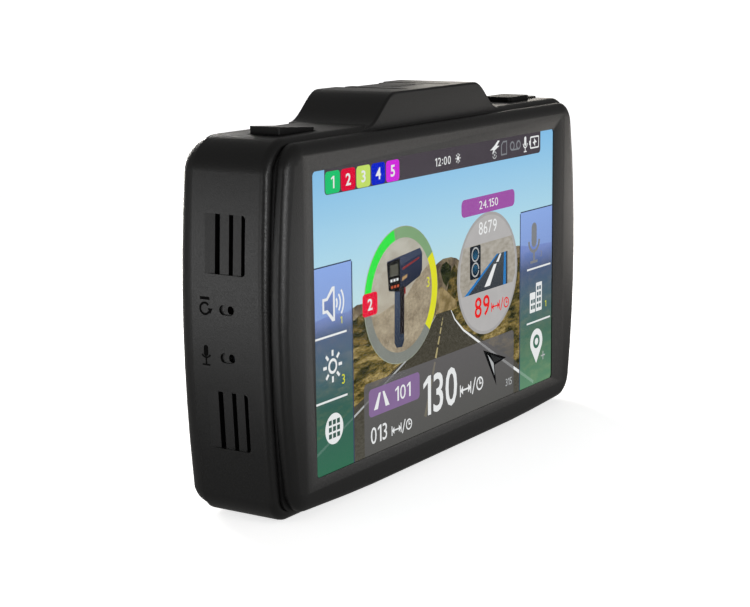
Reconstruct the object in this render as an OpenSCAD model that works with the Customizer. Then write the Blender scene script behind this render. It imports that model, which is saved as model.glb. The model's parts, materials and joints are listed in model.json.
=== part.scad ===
// Windscreen radar detector: a slim case with a touch display in front, a camera and a
// laser window behind, and a raised block on top that slides onto a windscreen bracket.
// +X runs to the right along the display, +Y away from the driver, +Z up.
// The origin is at the bottom centre of the whole object.

/* [Case] */
// Widest measure of the housing, at the middle of its bowed sides
case_w = 110.4; // [109.6:0.2:113]
// Height of the housing, without the mounting block
case_h = 64.7; // [64.4:0.1:67]
// Widest measure of the front bezel
bezel_w = 107.2; // [106:0.2:107.4]
// Height of the front bezel
bezel_h = 63.2; // [62.8:0.1:63.4]
// Depth from the bezel's rim to the rear cover's face
case_d = 22.2; // [22.2:0.1:24]
// Radius of the housing's upper corners, seen from the front
upper_corner_r = 5.6; // [5:0.1:6]
// Radius of its lower corners, and of the bezel's four
lower_corner_r = 4; // [3.6:0.1:4.4]
// How much narrower the housing is at its top and bottom, each side
side_bow = 1.9; // [1.6:0.1:2.2]
// Wall thickness of the housing and the rear cover
wall = 1.6; // [1.4:0.1:1.6]

/* [Display] */
// Width of the picture
picture_w = 86.4; // [80:0.2:87]
// Height of the picture
picture_h = 51.84; // [48:0.02:52]
// Height of the picture's centre above the base
picture_z = 32.5; // [32.4:0.1:32.6]

/* [Mounting block] */
// Width of the block's flat top
block_top_w = 28.6; // [26:0.2:32]
// Width of the block at its base, where it flows into the housing
block_base_w = 47; // [44:0.5:50]
// Height of the block above the housing
block_h = 5.3; // [5:0.1:6]
// Distance between the centres of the two rail grooves
rail_pitch = 15.2; // [13:0.2:16]

/* [Buttons] */
// Height of the two tall button caps above the housing
cap_rise = 1.0; // [0.9:0.1:1.2]
// How far a button is pressed
button_travel = 0.5; // [0.3:0.1:0.5]

/* [Camera] */
// How far the camera barrel stands out of the rear cover
camera_out = 4; // [3:0.5:5]
// Outer radius of the camera barrel
barrel_r = 7; // [6:0.2:7]

/* [Ports] */
// Bore radius of the round audio and video jack
jack_r = 1.27; // [1.25:0.01:1.8]

/* [Hidden] */

// Faces of a round feature, and steps in a quarter of a rounded corner
$fn = 48;
arc_steps = 8;
// Overshoot of a cut past the face that it opens
cut = 0.5;
// Thickness of the slices that a rounded shell is stretched over
slice = 0.05;
// Clearances: between resting parts, and between sliding ones
rest_gap = 0.05;
slide_gap = 0.2;

// Depths are measured back from the bezel's rim
total_d = case_d + camera_out;
front_y = -total_d / 2;
bezel_d = 2.5;
seam_d = 17.4;
inner_d = case_d - wall;

// Height of the bezel's lower edge above the base
bezel_lift = 0.6;
// How much narrower the bezel is at its top and bottom, each side
bezel_bow = 2.8;
// Half width of the rest strip that stays flat along the bottom. Beyond it the case rises in a
// straight line, and the bezel in a curve.
flat_half = 18;
case_rise = 0.3;
bezel_rise = 1;
// Depth of the mounting block's rear end
block_back_d = 19.6;
// Rounding of the housing's front edge
front_round = 1.3;
// The rear cover steps in from the housing, and is rounded towards its face
cover_step = 0.5;
cover_round = 4.5;

// Display stack, front to back
rim_front_w = 2.6;
rim_round_d = 1.4;
slope_out = 3.3;
slope_d = 0.6;
lip_back_d = 0.9;
opening_gap = 0.3;
opening_r = 0.8;
glass_w = 92;
glass_h = 57.2;
glass_t = 0.4;
air_gap = 0.25;
lcd_t = 1.2;
backlight_t = 2;
tray_t = 0.5;
glass_d = lip_back_d + rest_gap;
lcd_d = glass_d + glass_t + air_gap;
backlight_d = lcd_d + lcd_t + rest_gap;
tray_d = backlight_d + backlight_t + rest_gap;
spreader_d = tray_d + tray_t + rest_gap;
spreader_t = 0.6;
pad_d = spreader_d + spreader_t + rest_gap;
pad_t = 0.7;
board_d = 8;
board_t = 1;
board_back = board_d + board_t;

// Screw posts inside the housing
post_x = 46;
post_z = 24.3;
post_r = 2.3;
screw_r = 0.95;
pilot_r = 1;

// Buttons on the top: left edge, right edge and rise of each cap
housing_top = case_h;
button_d0 = 5.6;
button_d1 = 11.8;
left_span = [-46, -35.2];
right_span = [33.6, 42];
power_span = [43.6, 48.5];
power_rise = 0.3;
power_inset = 1.6;
// How much higher the left cap's outer end stands than its middle
cap_slope = 0.4;
flange_t = 0.55;
flange_top = case_h - wall - 0.1;
plunger_r = 1.22;
switch_body_h = 1.55;
switch_floor = 0.15;
switch_base = picture_z + 27.5;
switch_l = 5;
button_board_z = switch_base - 0.65;

// Side features, on the left wall
vent_d0 = 6.37;
vent_d1 = 15;
vent_h = 10;
vent_offset = 14.9;
vent_tilt = 3.1;
vent_corner_r = 0.7;
// How deep a slat lies at its front edge, and at its rear edge
slat_in = 0.5;
slat_out = 0.3;
pinhole_d = 9.5;
pinhole_offset = 4.05;
pinhole_run = 1.35;
pinhole_r = 0.75;
groove_r = 0.85;

// Radar, laser and camera, behind the main board
radar_x = -22;
radar_z = picture_z - 14;
laser_x = -22;
laser_z = picture_z + 8;
camera_x = 24;
camera_z = picture_z + 6;
lens_r = 5.4;

// Ports in the right wall
sd_z = picture_z - 14;
sd_d = 9.85;
usb_z = picture_z + 6;
usb_d = 10.65;
jack_z = picture_z + 18;
jack_d = 11.65;
jack_x1 = 52.4;
jack_l = 9.2;

// Case colours
charcoal = "#3a3a3a";
dark = "#232323";
board_green = "#1e5a38";
gold = "#d4a63a";
steel = "#b4b8bc";

// Turns a depth behind the rim into a place along Y
function yd(d) = front_y + d;

// Extrudes an outline drawn in X and Z backwards, from depth d on
module from_front(d, thick) {
    translate([0, yd(d + thick), 0]) rotate([90, 0, 0]) linear_extrude(thick) children();
}

// Extrudes an outline drawn in Y and Z to the right, from x on
module to_right(x, thick) {
    translate([x, 0, 0]) rotate([90, 0, 90]) linear_extrude(thick) children();
}

// A block given by its ranges in X, depth and Z
module block(x, d, z) {
    translate([x[0], yd(d[0]), z[0]]) cube([x[1] - x[0], d[1] - d[0], z[1] - z[0]]);
}

// A round bar along Y
module bar_back(x, z, d0, d1, r) {
    translate([x, yd(d1), z]) rotate([90, 0, 0]) cylinder(h = d1 - d0, r = r);
}

// A round bar along X
module bar_right(d, z, x0, x1, r) {
    translate([x0, yd(d), z]) rotate([0, 90, 0]) cylinder(h = x1 - x0, r = r);
}

// A turned part on an axis along Y: the outline's x is radius, its y is depth
module turned(x, z) {
    translate([x, front_y, z]) rotate([-90, 0, 0]) rotate_extrude() children();
}

module round_rect(w, h, r) {
    square([w - 2 * r, h], center = true);
    square([w, h - 2 * r], center = true);
    for (sx = [-1, 1], sz = [-1, 1])
        translate([sx * (w / 2 - r), sz * (h / 2 - r)]) circle(r);
}

// A slot with round ends, running from u0 to u1
module stadium(u0, u1, v, r) {
    translate([(u0 + u1) / 2, v]) square([u1 - u0, 2 * r], center = true);
    for (u = [u0, u1]) translate([u, v]) circle(r);
}

// Points of one rounded corner of a box with half sizes a and b
function corner(sx, sz, a, b, r, from) = [for (i = [0:arc_steps])
    let (t = from + 90 * i / arc_steps) [sx * (a - r) + r * cos(t), sz * (b - r) + r * sin(t)]];

// Points round a box with rounded corners, with a few along its sides and its lower edge
function rounded_box(a, b, r_top, r_low) = let (e = [2 * flat_half, 1.5 * flat_half, flat_half])
    concat(
        corner(1, 1, a, b, r_top, 0),
        corner(-1, 1, a, b, r_top, 90),
        [for (i = [3:-1:-3]) [-a, i * (b - r_top) / 4]],
        corner(-1, -1, a, b, r_low, 180),
        [for (i = [0:2]) [-e[i], -b]], [for (i = [2:-1:0]) [e[i], -b]],
        corner(1, -1, a, b, r_low, 270),
        [for (i = [-3:3]) [a, i * (b - r_top) / 4]]);

// Bows the sides in towards top and bottom, and leaves a flat rest strip below. The rise beyond
// the strip is straight with a power of 1, and curved with 2.
function bowed(p, a, b, bow, rise, power) = [
    p.x * (1 - bow / a * pow(p.y / b, 2)),
    p.y + (p.y > 0 ? 0 : rise
        * pow(max(0, abs(p.x) - flat_half) / (a - flat_half), power))];

// Outlines in X and Z, stepped in by inset
function shell_points(w, h, low, bow, rise, power, r_top, r_low, inset) =
    let (a = w / 2 - inset, b = h / 2 - inset)
    [for (p = rounded_box(a, b, max(r_top - inset, 0.5), max(r_low - inset, 0.5)))
        [0, low + h / 2] + bowed(p, a, b, bow, rise, power)];

function case_points(inset) = shell_points(case_w, case_h, 0, side_bow, case_rise, 1,
    upper_corner_r, lower_corner_r, inset);

function bezel_points(inset) = shell_points(bezel_w, bezel_h, bezel_lift, bezel_bow, bezel_rise, 2,
    lower_corner_r, lower_corner_r, inset);

module case_outline(inset) {
    polygon(case_points(inset));
}

// Joins outlines of equal length at their depths into one closed skin, front to back
module skin(outlines, depths) {
    n = len(outlines[0]);
    last = len(outlines) - 1;
    polyhedron(
        points = [for (k = [0:last], p = outlines[k]) [p.x, yd(depths[k]), p.y]],
        faces = concat(
            [[for (i = [n - 1:-1:0]) i], [for (i = [0:n - 1]) last * n + i]],
            [for (k = [0:last - 1], i = [0:n - 1]) let (j = (i + 1) % n)
                [k * n + i, k * n + j, (k + 1) * n + i]],
            [for (k = [0:last - 1], i = [0:n - 1]) let (j = (i + 1) % n)
                [k * n + j, (k + 1) * n + j, (k + 1) * n + i]]));
}

// Bezel: the ring around the display, with a rounded rim and a slope down to the picture
module bezel_body() {
    steps = [90:-15:0];
    skin(
        concat([for (t = steps) bezel_points(rim_front_w * (1 - cos(t)))],
            [bezel_points(0), bezel_points(0.25)]),
        concat([for (t = steps) rim_round_d * (1 - sin(t))], [bezel_d - 0.25, bezel_d]));
}

module picture_slope() {
    w0 = picture_w + 2 * opening_gap;
    h0 = picture_h + 2 * opening_gap;
    hull() {
        translate([0, 0, picture_z])
            from_front(slope_d, slice) square([w0, h0], center = true);
        translate([0, 0, picture_z]) from_front(-slice, slice)
            translate([0, (2.9 - 1.6) / 2])
                square([w0 + 2 * slope_out, h0 + 2.9 + 1.6], center = true);
    }
}

module front_bezel() {
    color(charcoal) difference() {
        union() {
            bezel_body();
            from_front(bezel_d - 0.5, 2.3) case_outline(wall + 0.1);
        }
        picture_slope();
        translate([0, 0, picture_z]) from_front(-cut, 5)
            round_rect(picture_w + 2 * opening_gap, picture_h + 2 * opening_gap, opening_r);
        translate([0, 0, picture_z]) from_front(lip_back_d, 5)
            round_rect(glass_w + 0.4, glass_h + 0.3, 0.8);
        from_front(bezel_d, 5) case_outline(wall + 0.9);
    }
}

// Mounting block: its ends rise in an S along a cosine, out of a short ramp at the foot
function s_curve(sx, from, to) = [for (i = [from:(to > from ? 1 : -1):to]) let (t = i / 10)
    [sx * (block_base_w / 2 - (block_base_w - block_top_w) / 2 * t),
     housing_top - 0.1 + (block_h + 0.1) * (1 - cos(180 * t)) / 2]];

module block_outline() {
    foot = [block_base_w / 2 + 4, housing_top - wall];
    polygon(concat([[-foot.x, foot.y]], s_curve(-1, 0, 10), s_curve(1, 10, 0), [foot]));
}

// The block's rear end, which reaches over the rear cover
module block_tail() {
    intersection() {
        from_front(seam_d - 0.5, block_back_d - seam_d + 0.5) block_outline();
        block([-block_base_w / 2, block_base_w / 2], [seam_d - 1, block_back_d + cut],
            [housing_top - cover_step + 0.1, housing_top + block_h + 1]);
    }
}

// Between the grooves the block ends a little short, with a shallow step before its edge
module block_stop() {
    top = housing_top + block_h;
    block([-rail_pitch / 2, rail_pitch / 2], [block_back_d - 1.2, block_back_d + cut],
        [top - 1.2, top + cut]);
    block([-4.6, 4.6], [block_back_d - 2.4, block_back_d + cut], [top - 0.9, top + cut]);
}

// One rail groove: narrow at the top, with a hook space under its outer edge
module rail_groove(sx) {
    top = housing_top + block_h;
    block(sx > 0 ? [rail_pitch / 2 - 0.6, rail_pitch / 2 + 0.6]
        : [-rail_pitch / 2 - 0.6, -rail_pitch / 2 + 0.6],
        [4.5, block_back_d + cut], [top - 2.4, top + cut]);
    block(sx > 0 ? [rail_pitch / 2 - 0.6, rail_pitch / 2 + 1.8]
        : [-rail_pitch / 2 - 1.8, -rail_pitch / 2 + 0.6],
        [4.5, block_back_d + cut], [top - 2.4, top - 1.2]);
}

// Left-wall louvre: three slits between slats that slope back in, front to back
module vent_cut(sz) {
    slits = [[vent_d0, 1.09], [8.98, 1.01], [11.7, 1.17]];
    x = -case_w / 2 + side_bow * pow(2 * vent_offset / case_h, 2);
    translate([x, 0, picture_z + sz * vent_offset]) rotate([0, sz * vent_tilt, 0])
        intersection() {
            translate([0, 0, -vent_h / 2]) linear_extrude(vent_h) for (i = [0:2]) {
                d0 = slits[i][0];
                d1 = d0 + slits[i][1];
                d2 = i < 2 ? slits[i + 1][0] : vent_d1;
                polygon([[-2, yd(d0 - 0.01)], [3, yd(d0 - 0.01)], [3, yd(d1)],
                    [slat_in, yd(d1)], [i < 2 ? slat_out : 0, yd(d2)], [-2, yd(d2)]]);
            }
            to_right(-2.5, 6) translate([yd((vent_d0 + vent_d1) / 2), 0])
                round_rect(vent_d1 - vent_d0 + 0.04, vent_h + 0.04, vent_corner_r);
        }
}

// Pin hole in the left wall, at the front end of a shallow finger groove
module pinhole_cut(z) {
    bar_right(pinhole_d, z, -case_w / 2 - cut, -case_w / 2 + wall + 1, pinhole_r);
    to_right(-case_w / 2 - cut, cut + 0.45) stadium(yd(pinhole_d), yd(pinhole_d + pinhole_run), z,
        groove_r);
}

module button_window(span, d0, d1) {
    block([span[0] - slide_gap, span[1] + slide_gap], [d0 - slide_gap, d1 + slide_gap],
        [flange_top - 1, housing_top + 2]);
}

module posts(d0, d1, r) {
    for (sx = [-1, 1], sz = [-1, 1]) bar_back(sx * post_x, picture_z + sz * post_z, d0, d1, r);
}

module housing_body() {
    steps = [90:-22.5:0];
    skin(concat([for (t = steps) case_points(front_round * (1 - cos(t)))], [case_points(0)]),
        concat([for (t = steps) bezel_d + front_round * (1 - sin(t))], [seam_d]));
}

module main_housing() {
    color(charcoal) difference() {
        union() {
            difference() {
                union() {
                    housing_body();
                    from_front(bezel_d + 0.1, seam_d - bezel_d - 0.1) block_outline();
                    block_tail();
                }
                from_front(bezel_d - cut, seam_d) case_outline(wall);
                block([-12, 12], [5, 16], [housing_top - 3, housing_top + 1.5]);
            }
            posts(board_back + 0.1, seam_d - rest_gap, post_r);
            for (sx = [-1, 1], sz = [-1, 1])
                block(sx > 0 ? [post_x + 1, 53.2] : [-53.2, -post_x - 1], [11, 15.5],
                    [picture_z + sz * post_z - 0.8, picture_z + sz * post_z + 0.8]);
        }
        posts(board_d, 12.2, screw_r);
        posts(13, seam_d + cut, pilot_r);
        for (sx = [-1, 1]) rail_groove(sx);
        block_stop();
        contact_pocket();
        for (sz = [-1, 1]) vent_cut(sz);
        for (sz = [-1, 1]) pinhole_cut(picture_z + sz * pinhole_offset);
        button_window(left_span, button_d0, button_d1);
        button_window(right_span, button_d0, button_d1);
        button_window(power_span, button_d0 + power_inset, button_d1 - power_inset);
        block([50, 60], [sd_d - 0.75, sd_d + 0.75], [sd_z - 6, sd_z + 6]);
        bar_right(sd_d, sd_z, case_w / 2 - 1.4, 60, 3);
        to_right(50, 10) rotate(90) stadium(usb_z - 3, usb_z + 3, -yd(usb_d), 1.75);
        bar_right(jack_d, jack_z, 50, 60, jack_r + 0.9);
    }
}

// Rear cover: rounded shell with the camera boss, the laser window and cooling slots
module cover_openings() {
    bar_back(camera_x, camera_z, seam_d - 3, case_d + 3, barrel_r + 0.1);
    translate([laser_x, 0, laser_z]) from_front(seam_d, 8) round_rect(30, 10, 3);
    translate([laser_x, 0, laser_z]) from_front(case_d - 0.9, 2) round_rect(34.2, 14.2, 4);
    for (i = [0:3])
        from_front(seam_d, 8) stadium(-6, 6, picture_z + 17 + 2.6 * i, 0.6);
    translate([radar_x, 0, radar_z - 1]) from_front(case_d - 0.2, 2) round_rect(32, 14, 1);
    for (sx = [-1, 1], sz = [-1, 1]) {
        bar_back(sx * post_x, picture_z + sz * post_z, seam_d - 1, case_d + 1, 1.15);
        bar_back(sx * post_x, picture_z + sz * post_z, case_d - 1.9, case_d + 1, 2.3);
    }
}

module cover_body() {
    steps = [0:15:90];
    skin(concat([case_points(cover_step)],
            [for (t = steps) case_points(cover_step + cover_round * (1 - cos(t)))]),
        concat([seam_d], [for (t = steps) case_d - cover_round * (1 - sin(t))]));
}

module rear_cover() {
    color(charcoal) difference() {
        union() {
            difference() {
                cover_body();
                from_front(seam_d - cut, 2 + cut) case_outline(wall + 0.8);
                from_front(seam_d, inner_d - seam_d) case_outline(wall + 2.8);
            }
            difference() {
                from_front(15.8, 2) case_outline(wall + 0.1);
                from_front(15, 5) case_outline(wall + 0.8);
            }
            posts(seam_d, inner_d + 0.3, 3.1);
            bar_back(camera_x, camera_z, inner_d - 2, case_d + 0.8, barrel_r + 3);
        }
        cover_openings();
    }
}

// Display stack
module cover_glass() {
    color("#10141c", 0.5) translate([0, 0, picture_z]) from_front(glass_d, glass_t)
        round_rect(glass_w, glass_h, 0.7);
}

module lcd_panel() {
    color("#2c6fa8") translate([0, 0, picture_z]) from_front(lcd_d, lcd_t)
        square([glass_w - 0.8, glass_h - 0.8], center = true);
}

module display_backlight() {
    color("#dfe3e6") translate([0, 0, picture_z]) from_front(backlight_d, backlight_t)
        square([glass_w - 1, glass_h - 1], center = true);
}

module display_tray() {
    color(steel) {
        translate([0, 0, picture_z]) from_front(tray_d, tray_t)
            round_rect(98, glass_h - 0.6, 1);
        for (sx = [-1, 1])
            block(sx > 0 ? [47, 47.5] : [-47.5, -47], [backlight_d, tray_d],
                [picture_z - 24, picture_z + 24]);
    }
}

module heat_spreader() {
    color("#c9ccd0") translate([0, 0, picture_z]) from_front(spreader_d, spreader_t)
        round_rect(80, 44, 2);
}

module thermal_pad() {
    color("#8fa3b0") block([-10, 10], [pad_d, pad_d + pad_t], [picture_z - 8, picture_z + 12]);
}

module processor() {
    color("#151515") block([-8, 8], [pad_d + pad_t + rest_gap, board_d - rest_gap],
        [picture_z - 6, picture_z + 10]);
}

module main_board() {
    color(board_green) difference() {
        translate([1.3, 0, picture_z]) from_front(board_d, board_t) round_rect(97.4, 53, 1.5);
        posts(board_d - 1, board_back + 1, 1.2);
    }
}

module shield_can() {
    color(steel) difference() {
        block([-9, 11], [board_back + rest_gap, 11.2], [picture_z + 4, picture_z + 24]);
        block([-8.8, 10.8], [board_back - 1, 11], [picture_z + 4.2, picture_z + 23.8]);
    }
}

module display_ribbon() {
    z0 = picture_z - glass_h / 2 + 0.05;
    color("#b5762a") {
        block([-12, 12], [lcd_d + 0.2, board_back + 0.6], [z0, z0 + 0.2]);
        block([-12, 12], [board_back + 0.4, board_back + 0.6], [z0 + 0.2, picture_z - 25]);
    }
}

module ribbon_connector() {
    color("#e9e4d6") block([-13, 13], [board_back + rest_gap, board_back + 1.3],
        [picture_z - 24.9, picture_z - 22]);
}

// Left side: reset switch and microphone on a small board behind the pin holes
module side_board() {
    color(board_green) block([-50.5, -49.7], [6, 12.4], [picture_z - 7.4, picture_z + 7]);
}

module reset_switch() {
    z = picture_z + pinhole_offset;
    color("#1b1b1b") difference() {
        block([-52.1, -50.55], [pinhole_d - 1.8, pinhole_d + 1.8], [z - 1.8, z + 1.8]);
        bar_right(pinhole_d, z, -52.2, -50.85, 0.78);
    }
}

module reset_plunger() {
    color("#c23b2e") bar_right(pinhole_d, picture_z + pinhole_offset, -53.3, -51.35, 0.7);
}

module mic_boot() {
    z = picture_z - pinhole_offset;
    color("#101010") difference() {
        bar_right(pinhole_d, z, -53.4, -50.55, 2.8);
        bar_right(pinhole_d, z, -52.35, -50.5, 2.02);
        bar_right(pinhole_d, z, -53.5, -52, 0.6);
    }
}

module mic_capsule() {
    color(steel) bar_right(pinhole_d, picture_z - pinhole_offset, -52.3, -50.6, 2);
}

module speaker() {
    z = picture_z - vent_offset;
    color("#1d1d1f") difference() {
        block([-52.25, -48.75], [6.2, 15.7], [z - 7, z + 7]);
        block([-52.45, -51.55], [7.4, 14.8], [z - 5.6, z + 5.6]);
    }
}

module vent_screens() {
    color("#0c0c0c") for (sz = [-1, 1])
        block([-52.63, -52.35], [5.9, 15.7], [picture_z + sz * vent_offset - 5.6,
            picture_z + sz * vent_offset + 5.6]);
}

// A button: a cap through the housing's top, and a flange under it that stops it falling out.
// The cap's top runs straight between its rises at the left and at the right end.
module button(span, lips, inset, rises) {
    d0 = button_d0 + inset;
    d1 = button_d1 - inset;
    z0 = flange_top - 0.05;
    color(dark) {
        intersection() {
            translate([(span[0] + span[1]) / 2, yd((d0 + d1) / 2), z0]) linear_extrude(6)
                round_rect(span[1] - span[0], d1 - d0, 0.8);
            from_front(d0 - 1, d1 - d0 + 2) polygon([[span[0], z0 - 1], [span[1], z0 - 1],
                [span[1], housing_top + rises[1]], [span[0], housing_top + rises[0]]]);
        }
        block([span[0] - lips[0], span[1] + lips[1]], [d0 - 0.8, d1 + 0.8],
            [flange_top - flange_t, flange_top]);
    }
}

module left_button() {
    button(left_span, [0.8, 0.7], 0, [cap_rise + cap_slope, cap_rise - cap_slope]);
}

module right_button() {
    button(right_span, [0.7, 0.3], 0, [cap_rise, cap_rise]);
}

module power_button() {
    button(power_span, [0, 0], power_inset, [power_rise, power_rise]);
}

// A tactile switch under a cap: its body, and the plunger that the cap presses
module switch_body(span, l) {
    x = (span[0] + span[1]) / 2;
    d = (button_d0 + button_d1) / 2;
    color("#1b1b1b") difference() {
        block([x - l / 2, x + l / 2], [d - 1.75, d + 1.75],
            [switch_base, switch_base + switch_body_h]);
        translate([x, yd(d), switch_base + switch_floor]) cylinder(h = 3, r = plunger_r + 0.08);
    }
}

module switch_plunger(span) {
    x = (span[0] + span[1]) / 2;
    z1 = flange_top - flange_t - rest_gap;
    z0 = switch_base + switch_floor + button_travel + 0.1;
    color("#d8d2c0") translate([x, yd((button_d0 + button_d1) / 2), z0])
        cylinder(h = z1 - z0, r = plunger_r);
}

module left_switch() {
    switch_body(left_span, switch_l);
}

module right_switch() {
    switch_body(right_span, switch_l);
}

module power_switch() {
    switch_body(power_span, 3.4);
}

module left_switch_plunger() {
    switch_plunger(left_span);
}

module right_switch_plunger() {
    switch_plunger(right_span);
}

module power_switch_plunger() {
    switch_plunger(power_span);
}

module button_board() {
    color(board_green) {
        block([-44, 49], [5.4, 12.6], [button_board_z, button_board_z + 0.6]);
        block([-7, 7], [12.6, 16.9], [button_board_z, button_board_z + 0.6]);
    }
}

module gps_antenna() {
    color("#cfc3a6") block([-6, 6], [5.6, 15.6], [switch_base, switch_base + 4]);
}

// Dock contacts: an insulating block in the mounting block's top, with round pads
module contact_pocket() {
    block([-4.55, 4.55], [8.05, 11.95],
        [housing_top + 1, housing_top + block_h + 1]);
}

module contact_block() {
    color("#141414") difference() {
        block([-4.5, 4.5], [8.1, 11.9], [housing_top + 1.6, housing_top + block_h - 0.02]);
        for (i = [-2:2])
            translate([1.7 * i, yd(10), housing_top]) cylinder(h = 8, r = 0.6);
    }
}

module dock_contacts() {
    color(gold) for (i = [-2:2])
        translate([1.7 * i, yd(10), housing_top + 0.9])
            cylinder(h = block_h - 1.25, r = 0.55);
}

// Radar receiver: a horn that looks out of the back through the cover
module radar_board() {
    color(board_green) block([radar_x - 17, radar_x + 17], [10.4, 11.4],
        [radar_z - 9.5, radar_z + 9.5]);
}

module horn_shape(d0, d1, w0, h0, w1, h1) {
    hull() {
        translate([radar_x, 0, radar_z]) from_front(d0, slice)
            square([w0, h0], center = true);
        translate([radar_x, 0, radar_z]) from_front(d1 - slice, slice)
            square([w1, h1], center = true);
    }
}

module radar_horn() {
    color("#a9adb1") difference() {
        horn_shape(11.45, 20.5, 16, 10, 32, 18.4);
        horn_shape(12.45, 20.6, 14, 8, 30.2, 16.6);
    }
}

module laser_sensor() {
    color("#222222") block([laser_x - 3, laser_x + 3], [board_back + rest_gap, 11],
        [laser_z - 2.5, laser_z + 2.5]);
}

module laser_holder() {
    color(dark) turned(laser_x, laser_z) difference() {
        polygon([[4.6, board_back + rest_gap], [5.4, board_back + rest_gap],
            [7, 16], [7, 19.4], [4.6, 19.4]]);
        polygon([[4, board_back - 1], [4.7, board_back - 1], [6, 16.9], [6, 20], [4, 20]]);
    }
}

module laser_lens() {
    color("#7a2020", 0.6) turned(laser_x, laser_z)
        polygon(concat([[0, 17]], [[5.9, 17]], [for (i = [0:8]) let (x = 5.9 * (1 - i / 8))
            [x, 17.8 + 2.2 * (1 - pow(x / 5.9, 2))]]));
}

module laser_window() {
    color("#3a0a10", 0.8) translate([laser_x, 0, laser_z])
        from_front(case_d - 0.85, 0.75) round_rect(34, 14, 3.9);
}

// Camera, from the sensor board to the front glass
module camera_sensor_board() {
    color(board_green) block([camera_x - 9, camera_x + 9], [10.6, 11.6],
        [camera_z - 9, camera_z + 9]);
}

module camera_sensor() {
    color("#26303a") block([camera_x - 4, camera_x + 4], [11.65, 12.7],
        [camera_z - 4, camera_z + 4]);
}

module lens_holder() {
    color(dark) difference() {
        block([camera_x - 6.5, camera_x + 6.5], [11.65, 15.8], [camera_z - 6.5, camera_z + 6.5]);
        block([camera_x - 4.2, camera_x + 4.2], [11, 13.2], [camera_z - 4.2, camera_z + 4.2]);
        bar_back(camera_x, camera_z, 12, 16, 3.6);
    }
}

module lens_cell() {
    color("#2a2a2c") turned(camera_x, camera_z)
        polygon([[0, 14], [3.5, 14], [3.5, 17.6], [4.6, 17.6], [4.6, 22.2], [0, 22.2]]);
}

module camera_barrel() {
    color("#161616") turned(camera_x, camera_z)
        polygon([[4.8, 16.6], [barrel_r, 16.6], [barrel_r, total_d - 0.5],
            [barrel_r - 0.5, total_d], [barrel_r - 1, total_d], [lens_r - 0.3, total_d - 1.6],
            [lens_r - 0.3, 24.4], [lens_r + 0.05, 24.4], [lens_r + 0.05, 22.4], [4.8, 22.4]]);
}

module camera_front_glass() {
    color("#27324a", 0.7) turned(camera_x, camera_z)
        polygon(concat([[0, 22.5]], [[lens_r, 22.5], [lens_r, 24.35]],
            [for (i = [0:8]) let (x = (lens_r - 0.6) * (1 - i / 8))
                [x, 24.35 + 0.9 * (1 - pow(x / (lens_r - 0.6), 2))]]));
}

module camera_ring() {
    color(steel) turned(camera_x, camera_z)
        polygon([[barrel_r + 0.15, case_d + 0.85], [barrel_r + 2.4, case_d + 0.85],
            [barrel_r + 2.4, case_d + 1.2], [barrel_r + 1.8, case_d + 1.8],
            [barrel_r + 0.15, case_d + 1.8]]);
}

module battery() {
    color("#5f6f86") translate([22, 0, picture_z - 15.5]) from_front(15.9, inner_d - 16)
        round_rect(38, 18, 1.5);
}

// Right side: card socket with its card, power inlet, audio and video jack
module sd_socket() {
    color(steel) difference() {
        block([39.4, 52.4], [board_back + rest_gap, sd_d + 0.95], [sd_z - 6.6, sd_z + 6.6]);
        block([39.8, 53], [sd_d - 0.55, sd_d + 0.55], [sd_z - 5.8, sd_z + 5.8]);
    }
}

module sd_card() {
    color("#1e1e22") {
        block([40, 55], [sd_d - 0.35, sd_d + 0.35], [sd_z - 4.9, sd_z + 5.5]);
        block([54, 55], [sd_d + 0.35, sd_d + 0.6], [sd_z - 4.9, sd_z + 5.5]);
    }
}

module usb_socket() {
    color(steel) difference() {
        to_right(46.3, 7.1) rotate(90) stadium(usb_z - 2.9, usb_z + 2.9, -yd(usb_d), 1.6);
        to_right(46.9, 8) rotate(90) stadium(usb_z - 2.85, usb_z + 2.85, -yd(usb_d), 1.3);
    }
}

module usb_tongue() {
    color("#151515") block([46.95, 52.8], [usb_d - 0.35, usb_d + 0.35],
        [usb_z - 3.3, usb_z + 3.3]);
}

module av_jack() {
    color("#1a1a1a") difference() {
        block([jack_x1 - 10, jack_x1], [jack_d - 2.6, jack_d + 2.6],
            [jack_z - 2.6, jack_z + 2.6]);
        bar_right(jack_d, jack_z, jack_x1 - jack_l, jack_x1 + cut, jack_r);
    }
}

// A countersunk screw pointing forwards or backwards, cross recess in its head
module screw(x, z, head_d, tip_d, head_r, head_t) {
    s = tip_d > head_d ? 1 : -1;
    difference() {
        union() {
            bar_back(x, z, min(head_d, head_d + s * head_t), max(head_d, head_d + s * head_t),
                head_r);
            bar_back(x, z, min(head_d, tip_d), max(head_d, tip_d), screw_r - 0.05);
        }
        for (a = [0, 90]) translate([x, yd(head_d), z]) rotate([0, a, 0])
            cube([2 * head_r * 0.62, 0.9, 0.4], center = true);
    }
}

module case_screws() {
    color("#2b2b2e") for (sx = [-1, 1], sz = [-1, 1])
        screw(sx * post_x, picture_z + sz * post_z, case_d - 0.7, 13.4, 2, 1.2);
}

module board_screws() {
    color(steel) for (sx = [-1, 1], sz = [-1, 1])
        screw(sx * post_x, picture_z + sz * post_z, board_d - 0.85, 11.8, 1.8, 0.8);
}

module rating_label() {
    color("#c8c8c6") translate([radar_x, 0, radar_z - 1]) from_front(case_d - 0.19, 0.15)
        round_rect(31.6, 13.6, 0.9);
}

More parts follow.
